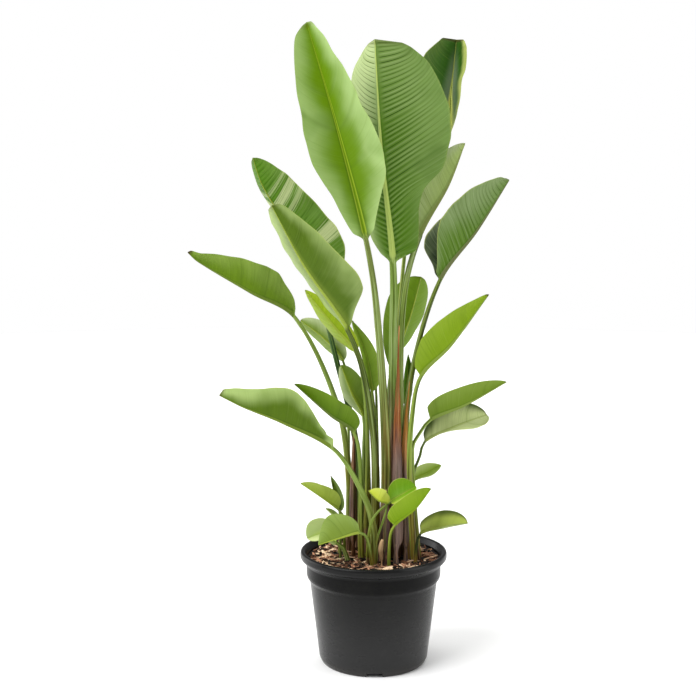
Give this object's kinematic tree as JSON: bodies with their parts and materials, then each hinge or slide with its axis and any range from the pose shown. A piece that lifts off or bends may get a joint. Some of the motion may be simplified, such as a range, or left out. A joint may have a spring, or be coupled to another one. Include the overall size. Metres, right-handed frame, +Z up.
{
  "type": "potted white bird of paradise plant",
  "caption": "Upright foliage plant with long-stalked paddle leaves fanning out of bark mulch in a tapered round nursery pot.",
  "frame": {"origin": "centre of the pot's underside, on the surface that it stands on", "axes": "+Z up along the pot's axis; the side the picture shows faces -Y; +X to the viewer's right"},
  "size_m": [0.519, 0.2464, 1.05],
  "materials": {
    "leaf": "satin green leaf with fine cross veins and a pale midrib",
    "young_leaf": "satin yellow-green young leaf",
    "dark_leaf": "satin dark green leaf with a yellowish midrib",
    "dried_sheath": "dry papery brown leaf sheath with pale streaks",
    "bark_mulch": "rough shredded bark, red-brown with pale chips",
    "pot_plastic": "black moulded plastic with a fine matte grain"
  },
  "bodies": {
    "root": {"bark_mulch": "bark_mulch", "leaf_back_centre": "leaf", "leaf_back_top": "dark_leaf", "leaf_curled_centre": "leaf", "leaf_curled_right": "leaf", "leaf_far_left": "leaf", "leaf_front_bright": "young_leaf", "leaf_front_cupped": "young_leaf", "leaf_front_left": "young_leaf", "leaf_front_yellow": "young_leaf", "leaf_low_narrow_left": "leaf", "leaf_low_right": "leaf", "leaf_lower_left": "leaf", "leaf_mid_left": "leaf", "leaf_middle_right": "young_leaf", "leaf_pale_left": "leaf", "leaf_pointed_left": "young_leaf", "leaf_rim_right": "leaf", "leaf_rolled_right": "leaf", "leaf_round_left": "leaf", "leaf_slim_centre": "leaf", "leaf_slim_left": "leaf", "leaf_small_left": "young_leaf", "leaf_small_right": "leaf", "leaf_spear_centre": "leaf", "leaf_spear_left": "leaf", "leaf_striped_left": "leaf", "leaf_tall_centre": "leaf", "leaf_tall_left": "leaf", "leaf_tiny_left": "young_leaf", "leaf_upper_left": "leaf", "leaf_upper_right": "leaf", "pot": "pot_plastic", "sheath_centre": "dried_sheath", "sheath_front": "dried_sheath", "sheath_left": "dried_sheath", "sheath_right": "dried_sheath", "sheath_torn": "dried_sheath"}
  },
  "joints": []
}
